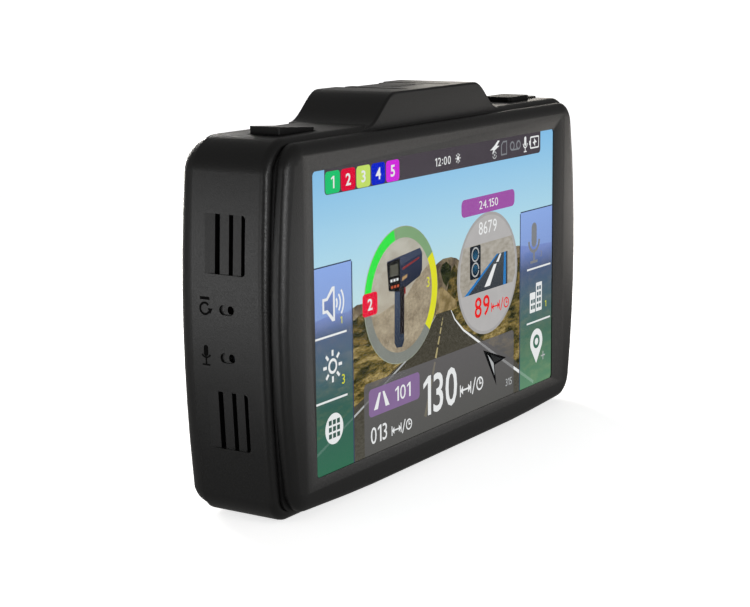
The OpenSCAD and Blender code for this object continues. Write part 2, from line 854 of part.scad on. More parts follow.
front_bezel();
main_housing();
rear_cover();
cover_glass();
lcd_panel();
display_backlight();
display_tray();
heat_spreader();
thermal_pad();
processor();
main_board();
shield_can();
display_ribbon();
ribbon_connector();
side_board();
reset_switch();
reset_plunger();
mic_boot();
mic_capsule();
speaker();
vent_screens();
left_button();
right_button();
power_button();
left_switch();
right_switch();
power_switch();
left_switch_plunger();
right_switch_plunger();
power_switch_plunger();
button_board();
gps_antenna();
contact_block();
dock_contacts();
radar_board();
radar_horn();
laser_sensor();
laser_holder();
laser_lens();
laser_window();
camera_sensor_board();
camera_sensor();
lens_holder();
lens_cell();
camera_barrel();
camera_front_glass();
camera_ring();
battery();
sd_socket();
sd_card();
usb_socket();
usb_tongue();
av_jack();
case_screws();
board_screws();
rating_label();
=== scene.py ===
"""Looks of a windscreen radar detector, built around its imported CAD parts."""
import json
import math

import bpy
from mathutils import Matrix, Vector


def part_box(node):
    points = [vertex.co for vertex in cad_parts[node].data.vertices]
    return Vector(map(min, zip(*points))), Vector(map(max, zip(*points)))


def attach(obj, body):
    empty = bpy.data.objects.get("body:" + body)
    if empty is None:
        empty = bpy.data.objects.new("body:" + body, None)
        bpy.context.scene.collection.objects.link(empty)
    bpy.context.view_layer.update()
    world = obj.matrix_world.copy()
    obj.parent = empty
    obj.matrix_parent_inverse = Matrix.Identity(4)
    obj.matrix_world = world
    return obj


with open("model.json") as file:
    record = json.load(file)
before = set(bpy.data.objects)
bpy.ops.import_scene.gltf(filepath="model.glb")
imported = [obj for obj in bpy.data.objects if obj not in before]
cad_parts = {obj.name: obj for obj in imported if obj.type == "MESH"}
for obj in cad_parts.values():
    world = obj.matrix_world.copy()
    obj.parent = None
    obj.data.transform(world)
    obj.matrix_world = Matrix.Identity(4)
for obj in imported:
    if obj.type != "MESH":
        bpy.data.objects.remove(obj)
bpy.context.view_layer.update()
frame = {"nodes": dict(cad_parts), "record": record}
record = frame["record"]
nodes = frame["nodes"]
scene = bpy.context.scene
MM = 0.001


def in_mm(node):
    """Lowest and highest corner of a CAD node, in millimetres."""
    low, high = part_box(node)
    return low / MM, high / MM


bezel_low, bezel_high = in_mm("front_bezel")
housing_low = in_mm("main_housing")[0]
glass_high = in_mm("cover_glass")[1]
lcd_low, lcd_high = in_mm("lcd_panel")
picture_x = (lcd_low.x + lcd_high.x) / 2
picture_z = (lcd_low.z + lcd_high.z) / 2


# ---------------------------------------------------------------- camera and lights

# Where the camera stands, in millimetres, and how it is turned, in degrees. Both come from a fit to
# the photograph's perspective.
CAMERA_PLACE = (-276.86, -175.55, 91.38)
CAMERA_HEADING = 57.08
CAMERA_PITCH = -10.9
CAMERA_ROLL = -0.62
CAMERA_LENS = 83.3


def add_camera():
    """Camera to the left of the display, a little above it and turned slightly on its axis."""
    data = bpy.data.cameras.new("camera")
    data.lens = CAMERA_LENS
    data.sensor_width = 36
    data.clip_start = 0.02
    data.clip_end = 80
    camera = bpy.data.objects.new("camera", data)
    camera.matrix_world = (
        Matrix.Translation(Vector(CAMERA_PLACE) * MM)
        @ Matrix.Rotation(-math.radians(CAMERA_HEADING), 4, "Z")
        @ Matrix.Rotation(math.pi / 2 + math.radians(CAMERA_PITCH), 4, "X")
        @ Matrix.Rotation(math.radians(CAMERA_ROLL), 4, "Z")
    )
    scene.collection.objects.link(camera)
    scene.camera = camera


def add_light(name, place, target, size, power, colour=(1, 1, 1)):
    """Soft square light at a place, aimed at a target, both in millimetres."""
    data = bpy.data.lights.new(name, "AREA")
    data.shape = "SQUARE"
    data.size = size * MM
    data.energy = power
    data.color = colour
    light = bpy.data.objects.new(name, data)
    light.location = Vector(place) * MM
    light.rotation_mode = "QUATERNION"
    light.rotation_quaternion = (Vector(target) - Vector(place)).to_track_quat("-Z", "Y")
    light.visible_camera = False
    scene.collection.objects.link(light)


def add_world(ambient, strength):
    """Plain white where the camera looks past the object, and a weaker light from all round."""
    world = bpy.data.worlds.new("studio")
    world.use_nodes = True
    world_nodes = world.node_tree.nodes
    links = world.node_tree.links
    around = world_nodes["Background"]
    around.inputs["Color"].default_value = ambient + (1,)
    around.inputs["Strength"].default_value = strength
    seen = world_nodes.new("ShaderNodeBackground")
    seen.inputs["Color"].default_value = (1, 1, 1, 1)
    mix = world_nodes.new("ShaderNodeMixShader")
    links.new(world_nodes.new("ShaderNodeLightPath").outputs["Is Camera Ray"], mix.inputs[0])
    links.new(around.outputs[0], mix.inputs[1])
    links.new(seen.outputs[0], mix.inputs[2])
    links.new(mix.outputs[0], world_nodes["World Output"].inputs["Surface"])
    scene.world = world


# ---------------------------------------------------------------- materials

def linear(hex_colour):
    """A '#rrggbb' colour as linear light values with alpha 1."""
    parts = [int(hex_colour[i:i + 2], 16) / 255 for i in (1, 3, 5)]
    return tuple(p / 12.92 if p <= 0.04045 else ((p + 0.055) / 1.055) ** 2.4 for p in parts) + (1,)


class Shader:
    """A new material with its Principled shader, and short ways to add the usual nodes."""

    def __init__(self, name):
        self.material = bpy.data.materials.new(name)
        self.material.use_nodes = True
        self.tree = self.material.node_tree
        self.main = self.tree.nodes["Principled BSDF"]
        self.place = self.add("ShaderNodeTexCoord").outputs["Object"]

    def add(self, kind, **settings):
        node = self.tree.nodes.new(kind)
        for key, value in settings.items():
            setattr(node, key, value)
        return node

    def join(self, out, into):
        self.tree.links.new(out, into)

    def set(self, **values):
        for key, value in values.items():
            self.main.inputs[key.replace("_", " ")].default_value = value

    def stretched(self, scale):
        """Object coordinates multiplied by three factors."""
        mapping = self.add("ShaderNodeMapping")
        mapping.inputs["Scale"].default_value = scale
        self.join(self.place, mapping.inputs["Vector"])
        return mapping.outputs["Vector"]

    def noise(self, scale, detail=2.0, place=None):
        node = self.add("ShaderNodeTexNoise")
        node.inputs["Scale"].default_value = scale
        node.inputs["Detail"].default_value = detail
        self.join(place or self.place, node.inputs["Vector"])
        return node.outputs["Fac"]

    def ramp(self, out, stops):
        """Colours along a value: stops are (place, colour) pairs."""
        node = self.add("ShaderNodeValToRGB")
        elements = node.color_ramp.elements
        while len(elements) < len(stops):
            elements.new(0.5)
        for element, (place, colour) in zip(elements, stops):
            element.position = place
            element.color = colour
        self.join(out, node.inputs["Fac"])
        return node.outputs["Color"]

    def range(self, out, low, high, to_low=0.0, to_high=1.0):
        node = self.add("ShaderNodeMapRange")
        for key, value in (("From Min", low), ("From Max", high), ("To Min", to_low), ("To Max", to_high)):
            node.inputs[key].default_value = value
        self.join(out, node.inputs["Value"])
        return node.outputs["Result"]

    def mix(self, share, a, b, blend="MIX"):
        """Mixes two colours, each an output or a plain colour; share is an output or a number."""
        node = self.add("ShaderNodeMix", data_type="RGBA", blend_type=blend)
        for value, socket in ((share, node.inputs[0]), (a, node.inputs[6]), (b, node.inputs[7])):
            if isinstance(value, (int, float, tuple)):
                socket.default_value = value
            else:
                self.join(value, socket)
        return node.outputs[2]

    def bump(self, out, strength, distance):
        node = self.add("ShaderNodeBump")
        node.inputs["Strength"].default_value = strength
        node.inputs["Distance"].default_value = distance
        self.join(out, node.inputs["Height"])
        self.join(node.outputs["Normal"], self.main.inputs["Normal"])

    def wear(self, colour, worn, share=0.35):
        """Convex edges rubbed towards a lighter colour."""
        point = self.add("ShaderNodeNewGeometry").outputs["Pointiness"]
        edge = self.range(point, 0.53, 0.62, 0.0, share)
        return self.mix(edge, colour, worn)


def shade(colour, factor):
    return tuple(min(1.0, c * factor) for c in colour[:3]) + (1,)


def plastic(name, colour, roughness=0.5, grain=5200, relief=0.25, wear=0.3, specular=0.4):
    """Moulded plastic: fine grain, uneven gloss and slightly polished edges."""
    s = Shader(name)
    colour = linear(colour)
    patches = s.ramp(s.noise(45, 4), [(0.3, shade(colour, 0.9)), (0.7, shade(colour, 1.1))])
    s.join(s.wear(patches, shade(colour, 1.7), wear), s.main.inputs["Base Color"])
    fine = s.noise(grain, 2)
    s.join(s.range(fine, 0.35, 0.65, roughness - 0.05, roughness + 0.07), s.main.inputs["Roughness"])
    s.bump(fine, relief, 0.00004)
    s.set(Specular_IOR_Level=specular)
    return s.material


def metal(name, colour, roughness=0.3, brushed=(1, 1, 12), relief=0.12):
    """Bare or coated metal with drawn-out scratches along one axis."""
    s = Shader(name)
    colour = linear(colour)
    lines = s.noise(260, 3, s.stretched(brushed))
    tone = s.ramp(lines, [(0.3, shade(colour, 0.82)), (0.7, shade(colour, 1.12))])
    s.join(s.wear(tone, shade(colour, 1.4)), s.main.inputs["Base Color"])
    s.join(s.range(lines, 0.3, 0.7, roughness - 0.07, roughness + 0.09), s.main.inputs["Roughness"])
    s.bump(lines, relief, 0.00003)
    s.set(Metallic=1.0)
    return s.material


def clear(name, colour, alpha, roughness=0.05):
    """Thin coated glass or filter: mostly see-through, with faint smears in its gloss."""
    s = Shader(name)
    smear = s.noise(90, 3)
    tone = s.ramp(smear, [(0.3, shade(linear(colour), 0.85)), (0.7, shade(linear(colour), 1.15))])
    s.join(tone, s.main.inputs["Base Color"])
    s.join(s.range(smear, 0.3, 0.7, roughness, roughness + 0.06), s.main.inputs["Roughness"])
    s.set(Alpha=alpha)
    return s.material


def board(name, colour):
    """Circuit board: solder mask over traces that run square to each other, with pads."""
    s = Shader(name)
    brick = s.add("ShaderNodeTexBrick")
    brick.inputs["Scale"].default_value = 420
    brick.inputs["Color1"].default_value = linear(colour)
    brick.inputs["Color2"].default_value = shade(linear(colour), 1.35)
    brick.inputs["Mortar"].default_value = shade(linear(colour), 0.6)
    s.join(s.place, brick.inputs["Vector"])
    s.join(s.mix(s.range(s.noise(700, 1), 0.62, 0.66), brick.outputs["Color"], linear("#c9a64a")),
           s.main.inputs["Base Color"])
    s.join(s.range(s.noise(300, 2), 0.3, 0.7, 0.28, 0.42), s.main.inputs["Roughness"])
    s.bump(brick.outputs["Fac"], 0.2, 0.00004)
    return s.material


def woven(name, colour, pitch):
    """Fine mesh cloth, as two crossed sets of threads."""
    s = Shader(name)
    threads = []
    for axis in ("Y", "Z"):
        wave = s.add("ShaderNodeTexWave", bands_direction=axis)
        wave.inputs["Scale"].default_value = 1 / pitch
        s.join(s.place, wave.inputs["Vector"])
        threads.append(wave.outputs["Fac"])
    both = s.mix(0.5, threads[0], threads[1])
    s.join(s.ramp(both, [(0.3, shade(linear(colour), 0.4)), (0.7, linear(colour))]),
           s.main.inputs["Base Color"])
    s.bump(both, 0.5, 0.00006)
    s.set(Roughness=0.9)
    return s.material


def glowing(name, colour, mottle=0.05):
    """A lit area of the display, with the faint unevenness of its backlight."""
    s = Shader(name)
    colour = linear(colour)
    tone = s.ramp(s.noise(350, 3),
                  [(0.3, shade(colour, 1 - mottle)), (0.7, shade(colour, 1 + mottle))])
    s.join(tone, s.main.inputs["Emission Color"])
    return lit(s)


def lit(s, alpha=1.0):
    """Leaves a shader only its glow."""
    s.set(Base_Color=(0, 0, 0, 1), Roughness=1.0, Specular_IOR_Level=0.0,
          Emission_Strength=1.0, Alpha=alpha)
    return s.material


def fading(name, stops, low, high, alpha=1.0, rough=None):
    """A lit area whose colour changes upwards, between heights in millimetres from the centre.

    rough is the scale and the dark and light colour of patches mixed into it.
    """
    s = Shader(name)
    split = s.add("ShaderNodeSeparateXYZ")
    s.join(s.place, split.inputs["Vector"])
    along = s.range(split.outputs["Z"], (picture_z + low) * MM, (picture_z + high) * MM)
    colour = s.ramp(along, [(place, linear(tone)) for place, tone in stops])
    if rough:
        scale, dark, light = rough
        patches = s.ramp(s.noise(scale, 6, s.stretched((1, 1, 2.2))),
                         [(0.35, linear(dark)), (0.65, linear(light))])
        colour = s.mix(0.55, colour, patches)
    s.join(colour, s.main.inputs["Emission Color"])
    return lit(s, alpha)


def terrain(name, stops, scale, stretch=2.2, low=0.55, high=1.3):
    """Lit ground seen from afar: patches of several colours with fine light and dark spots."""
    s = Shader(name)
    place = s.stretched((1, 1, stretch))
    patches = s.ramp(s.noise(scale, 8, place), [(at, linear(tone)) for at, tone in stops])
    spots = s.ramp(s.noise(scale * 5, 5, place), [(0.36, (low, low, low, 1)), (0.64, (high, high, high, 1))])
    s.join(s.mix(1.0, patches, spots, "MULTIPLY"), s.main.inputs["Emission Color"])
    return lit(s)


FINISHES = {
    "case_plastic": lambda n: plastic(n, "#0b0b0b", 0.38, 4200, 0.55, 0.3, 0.6),
    "button_plastic": lambda n: plastic(n, "#070707", 0.5, 4200, 0.4, 0.3, 0.35),
    "display_glass": lambda n: clear(n, "#20262c", 0.06),
    "display_picture": lambda n: plastic(n, "#15181c", 0.3, 3000, 0.1),
    "light_guide": lambda n: plastic(n, "#e6e9ea", 0.25, 2500, 0.1),
    "sheet_steel": lambda n: metal(n, "#b4b7ba", 0.3),
    "spreader_aluminium": lambda n: metal(n, "#c6c9cc", 0.35, (12, 1, 1)),
    "soft_pad": lambda n: plastic(n, "#39404a", 0.85, 1800, 0.4),
    "board_laminate": lambda n: board(n, "#1e5a38"),
    "chip_plastic": lambda n: plastic(n, "#1a1a1b", 0.45, 4000, 0.2),
    "ribbon_film": lambda n: plastic(n, "#b5762a", 0.3, 1500, 0.15),
    "connector_plastic": lambda n: plastic(n, "#ddd6c2", 0.4, 3000, 0.15),
    # The reset plunger's red is darkened nearly to black: painted shade of the pinhole it sits in.
    "plunger_red": lambda n: plastic(n, "#2c0d0a", 0.6, 3000, 0.2, 0.1, 0.2),
    "speaker_black": lambda n: plastic(n, "#202022", 0.7, 1500, 0.4),
    "screen_mesh": lambda n: woven(n, "#161616", 0.0004),
    "antenna_ceramic": lambda n: plastic(n, "#c9bd9f", 0.6, 2500, 0.2),
    "contact_gold": lambda n: metal(n, "#d8b45a", 0.22),
    "horn_metal": lambda n: metal(n, "#a4a8ac", 0.45, (1, 1, 1), 0.3),
    "inner_black_plastic": lambda n: plastic(n, "#1c1c1c", 0.6, 3000, 0.3),
    "laser_glass": lambda n: clear(n, "#2a0508", 0.9),
    "lens_metal": lambda n: metal(n, "#3a3a3d", 0.35),
    "barrel_black": lambda n: plastic(n, "#1b1b1b", 0.35, 4200, 0.2),
    "lens_glass": lambda n: clear(n, "#101828", 0.75, 0.02),
    "ring_metal": lambda n: metal(n, "#9da0a3", 0.25, (1, 12, 1)),
    "battery_foil": lambda n: plastic(n, "#7b8799", 0.35, 900, 0.3),
    "card_plastic": lambda n: plastic(n, "#1d1d22", 0.4, 4500, 0.15),
    "screw_black": lambda n: metal(n, "#2c2c2e", 0.4),
    "screw_steel": lambda n: metal(n, "#b2b4b8", 0.3),
    "label_film": lambda n: plastic(n, "#bdbdbb", 0.4, 2500, 0.15),
}
finish = {slot: make(slot) for slot, make in FINISHES.items()}
for row in record["subparts"]:
    mesh = nodes[row["node"]].data
    mesh.materials.clear()
    mesh.materials.append(finish[row["material_slot"]])
    for polygon in mesh.polygons:
        polygon.material_index = 0


# ---------------------------------------------------------------- CAD parts: smooth faces, soft edges

# Height above which only the mounting block reaches
BLOCK_FOOT = bezel_high.z + 0.6
# Radii of the block's front rim, of the outer shells' edges and of all other edges
RIM_ROUND = 0.9
SHELL_ROUND = 0.12
EDGE_ROUND = 0.08
SHELLS = ("front_bezel", "main_housing", "rear_cover")


def add_rim(o, low_z, radius):
    """Marks the front outline of what stands above a height, and rounds it."""
    points = o.data.vertices
    front = min(v.co.y for v in points if v.co.z > low_z * MM)
    outline = [v.index for v in points if v.co.z > low_z * MM and abs(v.co.y - front) < 0.01 * MM]
    o.vertex_groups.new(name="rim").add(outline, 1.0, "REPLACE")
    rim = o.modifiers.new("rim", "BEVEL")
    rim.limit_method = "VGROUP"
    rim.vertex_group = "rim"
    rim.width = radius * MM
    rim.segments = 5


def soften(node, radius):
    """Joins a CAD part's facets into smooth faces and rounds the edges between them."""
    o = nodes[node]
    if "custom_normal" in o.data.attributes:
        o.data.attributes.remove(o.data.attributes["custom_normal"])
    for polygon in o.data.polygons:
        polygon.use_smooth = True
    weld = o.modifiers.new("weld", "WELD")
    weld.merge_threshold = 0.002 * MM
    flat = o.modifiers.new("flat", "DECIMATE")
    flat.decimate_type = "DISSOLVE"
    flat.angle_limit = math.radians(1.0)
    if node == "main_housing":
        add_rim(o, BLOCK_FOOT, RIM_ROUND)
    bevel = o.modifiers.new("bevel", "BEVEL")
    bevel.width = radius * MM
    bevel.segments = 2
    bevel.limit_method = "ANGLE"
    bevel.angle_limit = math.radians(30)
    bevel.harden_normals = True
    bevel.use_clamp_overlap = True
    normals = o.modifiers.new("normals", "WEIGHTED_NORMAL")
    normals.keep_sharp = True


for name in nodes:
    soften(name, SHELL_ROUND if name in SHELLS else EDGE_ROUND)


# ---------------------------------------------------------------- the lit picture

# Content is placed in millimetres from the picture's centre, right and up. It is shifted a
# little, as it is seen through the glass from the left.
SHIFT = (0.75, -0.15)
# Room between the display and its cover glass, shared by the picture's layers
LAYERS = 11
layer_step = (lcd_low.y - glass_high.y) / (LAYERS + 1)


def slab(outline):
    """Points (across, up, 0 or 1 for front or back) and faces of a flat closed shape."""
    count = len(outline)
    points = [(a, b, side) for side in (0, 1) for a, b in outline]
    faces = [list(range(count)), [2 * count - 1 - i for i in range(count)]]
    faces += [[i, i + count, (i + 1) % count + count, (i + 1) % count] for i in range(count)]
    return points, faces


class Drawing:
    """One piece of the picture: flat shapes with a little thickness, each on a layer.

    Layer 0 is next to the panel, and higher ones are nearer to the viewer.
    """

    def __init__(self, name):
        self.name = name
        self.points = []
        self.faces = []
        self.looks = []
        self.face_looks = []

    def solid(self, points, faces, layer, look):
        """Points (across, up, front to back 0 to 1) and faces, put on a layer of the picture."""
        back = lcd_low.y - layer * layer_step
        start = len(self.points)
        self.points += [((picture_x + x + SHIFT[0]) * MM, (back - (1 - side) * 0.6 * layer_step) * MM,
                         (picture_z + z + SHIFT[1]) * MM) for x, z, side in points]
        if look not in self.looks:
            self.looks.append(look)
        for face in faces:
            self.faces.append([start + i for i in face])
            self.face_looks.append(self.looks.index(look))

    def shape(self, outline, layer, look):
        """A closed slab over an outline of points that run anticlockwise, on a layer."""
        points, faces = slab(outline)
        self.solid(points, faces, layer, look)

    def finish(self):
        mesh = bpy.data.meshes.new(self.name)
        mesh.from_pydata(self.points, [], self.faces)
        for look in self.looks:
            mesh.materials.append(look)
        for polygon, look in zip(mesh.polygons, self.face_looks):
            polygon.material_index = look
        piece = bpy.data.objects.new(self.name, mesh)
        scene.collection.objects.link(piece)
        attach(piece, "case")


def arc(x, z, r, start, end, steps=None):
    """Points along an arc, angles in degrees anticlockwise from the right."""
    steps = steps or max(2, round(abs(end - start) / 7.5))
    angles = [math.radians(start + (end - start) * i / steps) for i in range(steps + 1)]
    return [(x + r * math.cos(t), z + r * math.sin(t)) for t in angles]


def disc(x, z, r):
    return arc(x, z, r, 0, 360, 48)[:-1]


def band(x, z, r, width, start, end):
    """Part of a ring, by its outer radius."""
    return arc(x, z, r, start, end) + arc(x, z, r - width, end, start)


def box(x0, x1, z0, z1, r=0.0):
    """A rectangle, with rounded corners if r is given."""
    if not r:
        return [(x0, z0), (x1, z0), (x1, z1), (x0, z1)]
    return (arc(x1 - r, z0 + r, r, -90, 0) + arc(x1 - r, z1 - r, r, 0, 90)
            + arc(x0 + r, z1 - r, r, 90, 180) + arc(x0 + r, z0 + r, r, 180, 270))


def stroke(points, width, end_width=None):
    """A ribbon along points, which may taper."""
    end_width = end_width or width
    left, right = [], []
    for i, (x, z) in enumerate(points):
        (xa, za), (xb, zb) = points[max(i - 1, 0)], points[min(i + 1, len(points) - 1)]
        length = math.hypot(xb - xa, zb - za)
        half = (width + (end_width - width) * i / (len(points) - 1)) / 2
        nx, nz = -(zb - za) / length * half, (xb - xa) / length * half
        left.append((x + nx, z + nz))
        right.append((x - nx, z - nz))
    return right + left[::-1]


OWN_MARKS = {
    "1": [[(0.26, 0), (0.42, 0), (0.42, 1), (0.28, 1), (0.02, 0.84), (0.02, 0.71), (0.26, 0.83)]],
    ".": [disc(0.09, 0.09, 0.09)],
    ":": [disc(0.09, 0.25, 0.09), disc(0.09, 0.68, 0.09)],
}


def mark_shape(mark, bold):
    """Points and faces of one numeral, 1 high and standing at 0; its own outline or a plain font's."""
    points, faces = [], []
    if mark in OWN_MARKS:
        for outline in OWN_MARKS[mark]:
            more, joined = slab(outline)
            faces += [[len(points) + i for i in face] for face in joined]
            points += more
        return points, faces
    curve = bpy.data.curves.new("numeral", "FONT")
    curve.body = mark
    curve.offset = bold
    curve.resolution_u = 3
    curve.extrude = 0.5
    made = bpy.data.objects.new("numeral", curve)
    scene.collection.objects.link(made)
    bpy.context.view_layer.update()
    mesh = bpy.data.meshes.new_from_object(made.evaluated_get(bpy.context.evaluated_depsgraph_get()))
    points = [tuple(v.co) for v in mesh.vertices]
    faces = [list(polygon.vertices) for polygon in mesh.polygons]
    bpy.data.objects.remove(made)
    bpy.data.curves.remove(curve)
    bpy.data.meshes.remove(mesh)
    left = min(p[0] for p in points)
    low = min(p[1] for p in points)
    tall = max(p[1] for p in points) - low
    return [((a - left) / tall, (b - low) / tall, 0.5 - c) for a, b, c in points], faces


def digits(name, text, x, z, height, layer, look, aspect=1.0, bold=0.0, gap=0.13):
    """Numbers on the display, centred on a point, with their height in millimetres."""
    row, end = [], 0.0
    for mark in text:
        points, faces = mark_shape(mark, bold)
        row.append(([(end + a, b, side) for a, b, side in points], faces))
        end = max(p[0] for p in row[-1][0]) + gap
    middle = (end - gap) / 2
    d = Drawing(name)
    for points, faces in row:
        placed = [(x + (a - middle) * height * aspect, z + (b - 0.5) * height, side) for a, b, side in points]
        d.solid(placed, faces, layer, look)
    d.finish()


WHITE = glowing("lit_white", "#f2f4f4", 0.02)
DIM_WHITE = glowing("lit_dim_white", "#b9bcbd", 0.03)
GREY = glowing("lit_grey", "#85888d", 0.04)
YELLOW = glowing("lit_yellow", "#e6e62e", 0.03)
BRIGHT_GREEN = glowing("lit_green", "#31ec47", 0.04)
RED = glowing("lit_red", "#ee0f39", 0.04)
DIGIT_RED = glowing("lit_digit_red", "#ee2020", 0.04)
BLACK = glowing("lit_black", "#0b0c0c", 0.1)
BAR = glowing("lit_bar", "#4d474e", 0.05)

# The scenery ends this far inside the panel's edge, hidden behind the bezel's lip
MARGIN = 1.2
half_w = (lcd_high.x - lcd_low.x) / 2 - MARGIN
half_h = (lcd_high.z - lcd_low.z) / 2 - MARGIN
# Where the hills and the columns of touch keys end at the sides
SIDE_END = 43.9


def draw_scenery():
    """Sky, two ranges of hills, dry ground and the road, seen by the dash camera."""
    d = Drawing("picture_scenery")
    sky = fading("lit_sky", [(0, "#c6e7ee"), (0.35, "#b4e0f3"), (1, "#8cc8f2")], 2, 26)
    d.shape(box(-half_w, half_w, -half_h, half_h), 0, sky)
    far = terrain("lit_far_hills", [(0.36, "#55493f"), (0.5, "#7a6d58"), (0.62, "#94886e")], 260, 1.4,
                  0.75, 1.15)
    ridge = [(SIDE_END, 2.6), (38, 2.9), (33, 3.2), (29, 3.9), (24, 3.6), (17, 2.6), (12, 3.0), (7.5, 3.4),
             (6, 4.0), (4.4, 4.9), (2.4, 5.4), (-0.6, 5.5), (-2.4, 5.0), (-4, 4.4), (-6, 3.6),
             (-9, 2.2), (-15, 2.6), (-21, 3.0), (-26, 1.4), (-30, 1.6), (-33, 0.9), (-38, 1.3),
             (-SIDE_END, 0.7)]
    d.shape([(-SIDE_END, -6), (SIDE_END, -6)] + ridge, 1, far)
    near = terrain("lit_near_hills", [(0.38, "#272c14"), (0.5, "#4c4524"), (0.62, "#7d6a3a")], 420, 1.8)
    d.shape([(1.8, -5), (SIDE_END, -7), (SIDE_END, -1.2), (38, 0.4), (34, 1.9), (28, 1.3), (22, -1),
             (14, -2.2), (8, -0.6), (5.4, 1.8), (3.6, 3.9), (2.0, 2.4), (0.8, -1)], 2, near)
    d.shape([(-SIDE_END, -8), (-3.4, -5.2), (-6, -3.2), (-13, -2.4), (-21, -1.0), (-27, 0.4), (-31, -1.0),
             (-37, -0.2), (-SIDE_END, -2.0)], 2, near)
    face = terrain("lit_mountain_face", [(0.4, "#1c2313"), (0.6, "#3a3f22")], 600, 1.0)
    d.shape([(-1.7, 3.4), (-0.6, 1.0), (0.6, 0.0), (2.0, 1.5), (2.4, 3.6), (0.6, 4.8), (-1.0, 4.4)], 3, face)
    slope = terrain("lit_tan_slope", [(0.4, "#7d6c45"), (0.6, "#a8946a")], 500, 1.2, 0.8, 1.1)
    d.shape([(-3.4, -4.7), (4.6, -4.7), (4.4, -3.4), (1.2, -1.2), (-1.2, 0.3), (-2.9, -0.2)], 3, slope)
    earth = [(0.36, "#2b2d17"), (0.47, "#585029"), (0.56, "#84723f"), (0.66, "#a5925e")]
    ground = terrain("lit_ground", earth, 300, 3.2)
    d.shape([(-half_w, -half_h), (half_w, -half_h), (half_w, -5.2), (4.6, -4.6), (-3.4, -4.7),
             (-half_w, -6.6)], 3, ground)
    road = fading("lit_road", [(0, "#5f5d55"), (0.6, "#4a463b"), (1, "#3c392c")], -26, -5,
                  rough=(1500, "#3f3c32", "#5a574d"))
    d.shape([(-half_w, -half_h), (37.5, -half_h), (28, -19.6), (12, -11.6), (6.9, -9.3), (3.9, -6.6),
             (2.3, -4.7), (-3.4, -4.7), (-5, -6.3), (-8.3, -8.4), (-14.4, -11.2), (-half_w, -20.5)], 4, road)
    left_line = [(-3.5, -4.9), (-8.3, -8.6), (-14.4, -11.6), (-30, -17.6), (-SIDE_END, -22.8)]
    d.shape(stroke(left_line, 0.1, 0.5), 5, DIM_WHITE)
    d.shape(stroke([(2.2, -4.8), (3.6, -6.8), (6.9, -9.5), (20, -17.0), (36, -25.8)], 0.15, 0.65), 5, WHITE)
    dash = glowing("lit_dash", "#b3a679", 0.1)
    for i in range(9):
        near_z = -5.6 - 19 * ((i + 0.75) / 9) ** 2.1
        far_z = -5.6 - 19 * (i / 9) ** 2.1
        line = [(-0.8 + 0.37 * (z + 5.6), z) for z in (far_z, near_z)]
        d.shape(stroke(line, 0.12 + 0.07 * i, 0.18 + 0.09 * i), 5, dash)
    d.finish()


def draw_status_bar():
    """Bar across the top with the band badges, the clock and the status signs."""
    d = Drawing("picture_status_bar")
    d.shape(box(-39.6, 38.4, 21.9, 27.2, 0.8), 6, BAR)
    badges = (("1", "#24ca74"), ("2", "#e60d3a"), ("3", "#cbe86e"), ("4", "#0a24cf"), ("5", "#d92ee4"))
    for i, (mark, tone) in enumerate(badges):
        x = -37.2 + 4.75 * i
        d.shape(box(x - 2.2, x + 2.2, 22.0, 25.8, 0.7), 7, glowing("lit_badge_" + mark, tone, 0.03))
        digits("picture_badge_" + mark, mark, x, 23.9, 2.1, 8, WHITE, 1.15, 0.02)
    x, z = 19.2, 24.3
    d.shape([(x - 1.9, z - 0.1), (x - 0.2, z + 0.7), (x + 1.2, z + 1.6), (x + 1.9, z + 1.5),
             (x + 0.8, z + 0.6), (x + 1.8, z + 0.5), (x, z - 0.2), (x - 1.1, z - 0.9),
             (x - 0.6, z - 0.1)], 7, WHITE)
    d.shape(band(x - 0.1, z - 1.2, 0.8, 0.22, 20, 160), 7, DIM_WHITE)
    d.shape(band(x - 0.1, z - 1.0, 0.9, 0.22, 200, 340), 7, DIM_WHITE)
    d.shape(disc(x - 0.1, z - 1.15, 0.25), 7, DIM_WHITE)
    x = 22.9
    d.shape([(x - 1.2, z - 1.5), (x + 1.2, z - 1.5), (x + 1.2, z + 1.3), (x - 0.4, z + 1.3),
             (x - 1.2, z + 0.6)], 7, GREY)
    d.shape([(x - 0.9, z - 1.2), (x + 0.9, z - 1.2), (x + 0.9, z + 1.0), (x - 0.3, z + 1.0),
             (x - 0.9, z + 0.5)], 8, BAR)
    x = 27.6
    for side in (-1, 1):
        d.shape(disc(x + side * 1.3, z, 0.95), 7, GREY)
        d.shape(disc(x + side * 1.3, z, 0.6), 8, BAR)
    d.shape(box(x - 1.3, x + 1.3, z - 0.95, z - 0.65), 7, GREY)
    microphone(d, 31.8, z - 0.1, 0.42, WHITE, 7)
    x = 35.7
    d.shape(box(x - 1.8, x + 2.0, z - 1.3, z + 1.2, 0.35), 7, WHITE)
    d.shape(box(x - 1.5, x + 1.7, z - 1.0, z + 0.9, 0.2), 8, BAR)
    d.shape(box(x - 2.2, x - 1.8, z - 0.5, z + 0.4), 7, WHITE)
    d.shape([(x + 0.3, z - 0.9), (x + 0.2, z - 0.2), (x + 1.0, z - 0.1), (x - 0.2, z + 0.8),
             (x - 0.1, z + 0.1), (x - 0.8, z)], 9, WHITE)
    x, z = 4.9, 23.9
    d.shape(disc(x, z, 0.42), 7, WHITE)
    for i in range(8):
        a = math.radians(45 * i)
        d.shape(stroke([(x + r * math.cos(a), z + r * math.sin(a)) for r in (0.6, 0.95)], 0.2), 7, WHITE)
    d.finish()
    digits("picture_clock", "12:00", -0.7, 23.9, 1.55, 7, WHITE, 1.12, 0.0, 0.2)


